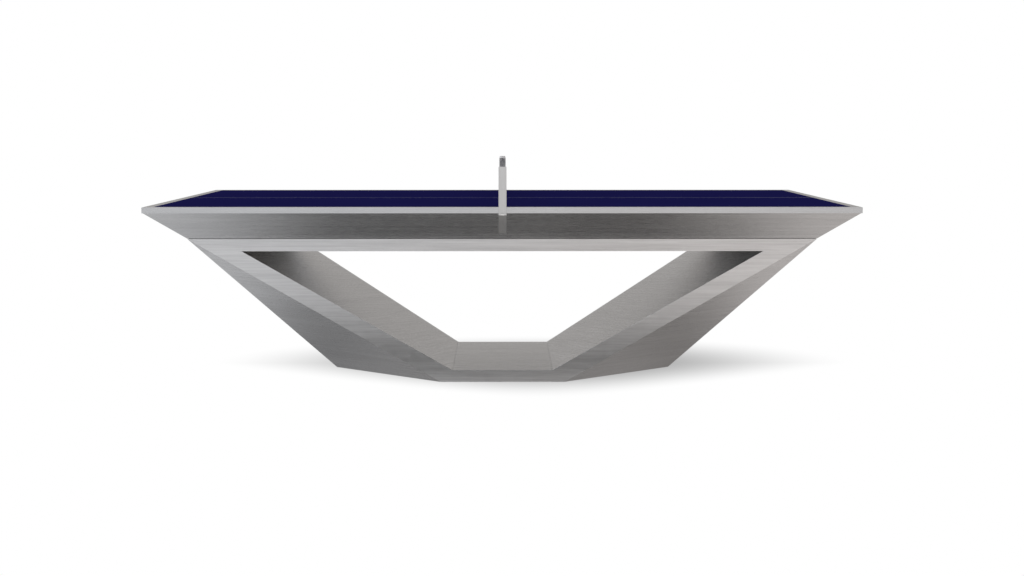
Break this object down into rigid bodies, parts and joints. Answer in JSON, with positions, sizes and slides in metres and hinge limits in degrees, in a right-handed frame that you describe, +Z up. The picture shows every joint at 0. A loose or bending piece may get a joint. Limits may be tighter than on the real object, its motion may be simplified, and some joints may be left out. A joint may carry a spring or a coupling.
{
  "type": "table tennis table",
  "caption": "Indoor table tennis table: navy top in a satin metal rim and sloping aprons, on a faceted brushed steel base with a trapezoid window through it, and a clamp-on net.",
  "frame": {"origin": "on the floor, under the centre of the table", "axes": "+X along the table's length, +Y from the near long side to the far one that has the net's tension cap, +Z up"},
  "size_m": [2.816, 1.612, 0.9264],
  "materials": {
    "brushed_sheet": "stainless sheet with a fine horizontal brushed grain",
    "satin_rim": "satin bar with a very fine grain along its length",
    "playing_surface": "dense board with a matt navy lacquer and a thin white centre line",
    "hidden_tube": "dark primed steel",
    "zinc": "plain zinc-plated steel",
    "dowel": "plain beech",
    "post_grey": "satin grey powder coat",
    "post_steel": "satin steel, brushed upright",
    "rubber": "matt black rubber",
    "net_cord": "dark knotted cord mesh",
    "net_tape": "dark woven tape folded over the top cord",
    "cap_metal": "bright satin turned metal with a knurled edge"
  },
  "bodies": {
    "table": {"playing_panel_left": "playing_surface", "playing_panel_right": "playing_surface", "rim_near": "satin_rim", "rim_far": "satin_rim", "rim_left": "satin_rim", "rim_right": "satin_rim", "apron_near": "brushed_sheet", "apron_far": "brushed_sheet", "apron_left": "brushed_sheet", "apron_right": "brushed_sheet", "near_face_top_rail": "brushed_sheet", "near_face_bottom_rail": "brushed_sheet", "near_face_left_strip": "brushed_sheet", "near_face_right_strip": "brushed_sheet", "far_face_top_rail": "brushed_sheet", "far_face_bottom_rail": "brushed_sheet", "far_face_left_strip": "brushed_sheet", "far_face_right_strip": "brushed_sheet", "facet_near_left": "brushed_sheet", "facet_near_right": "brushed_sheet", "facet_far_left": "brushed_sheet", "facet_far_right": "brushed_sheet", "end_panel_left": "brushed_sheet", "end_panel_right": "brushed_sheet", "leg_lining_left": "brushed_sheet", "leg_lining_right": "brushed_sheet", "floor_lining": "brushed_sheet", "soffit_lining": "brushed_sheet", "bottom_plate": "brushed_sheet", "base_deck": "hidden_tube", "leg_struts": "hidden_tube", "sole_rails": "hidden_tube", "deck_rails": "hidden_tube", "subframe_rails": "hidden_tube", "cross_members": "hidden_tube", "apron_brackets": "hidden_tube", "foot_inserts": "zinc", "deck_bolts": "zinc", "hinge_pins": "zinc", "panel_dowels": "dowel", "near_post_block": "post_grey", "far_post_block": "post_grey", "near_post_plate": "post_steel", "far_post_plate": "post_steel", "post_foot_pads": "rubber"},
    "near_jaw": {"near_jaw": "post_steel", "near_jaw_pad": "rubber"},
    "far_jaw": {"far_jaw": "post_steel", "far_jaw_pad": "rubber"},
    "net": {"net_mesh": "net_cord", "net_top_tape": "net_tape", "net_rods": "post_steel"},
    "tension_cap": {"tension_cap": "cap_metal"},
    "foot_near_left": {"levelling_foot_near_left": "zinc"},
    "foot_near_right": {"levelling_foot_near_right": "zinc"},
    "foot_far_left": {"levelling_foot_far_left": "zinc"},
    "foot_far_right": {"levelling_foot_far_right": "zinc"},
    "foot_left": {"levelling_foot_left": "zinc"},
    "foot_right": {"levelling_foot_right": "zinc"}
  },
  "joints": [
    {"name": "near_jaw_hinge", "type": "hinge", "parent": "table", "child": "near_jaw", "pos_m": [0, -0.802, 0.7315], "axis": [-1, 0, 0], "range_deg": [0, 40], "stiffness_Nm_per_rad": 3, "springref_deg": -28.65},
    {"name": "far_jaw_hinge", "type": "hinge", "parent": "table", "child": "far_jaw", "pos_m": [0, 0.802, 0.7315], "axis": [1, 0, 0], "range_deg": [0, 40], "stiffness_Nm_per_rad": 3, "springref_deg": -28.65},
    {"name": "net_lift", "type": "slide", "parent": "table", "child": "net", "axis": [0, 0, 1], "range_m": [0, 0.17]},
    {"name": "tension_cap_turn", "type": "hinge", "parent": "net", "child": "tension_cap", "pos_m": [0, 0.7858, 0.92], "axis": [0, 0, 1], "continuous": true},
    {"name": "foot_near_left_extend", "type": "slide", "parent": "table", "child": "foot_near_left", "axis": [0, 0, -1], "range_m": [0, 0.012]},
    {"name": "foot_near_right_extend", "type": "slide", "parent": "table", "child": "foot_near_right", "axis": [0, 0, -1], "range_m": [0, 0.012]},
    {"name": "foot_far_left_extend", "type": "slide", "parent": "table", "child": "foot_far_left", "axis": [0, 0, -1], "range_m": [0, 0.012]},
    {"name": "foot_far_right_extend", "type": "slide", "parent": "table", "child": "foot_far_right", "axis": [0, 0, -1], "range_m": [0, 0.012]},
    {"name": "foot_left_extend", "type": "slide", "parent": "table", "child": "foot_left", "axis": [0, 0, -1], "range_m": [0, 0.012]},
    {"name": "foot_right_extend", "type": "slide", "parent": "table", "child": "foot_right", "axis": [0, 0, -1], "range_m": [0, 0.012]}
  ]
}
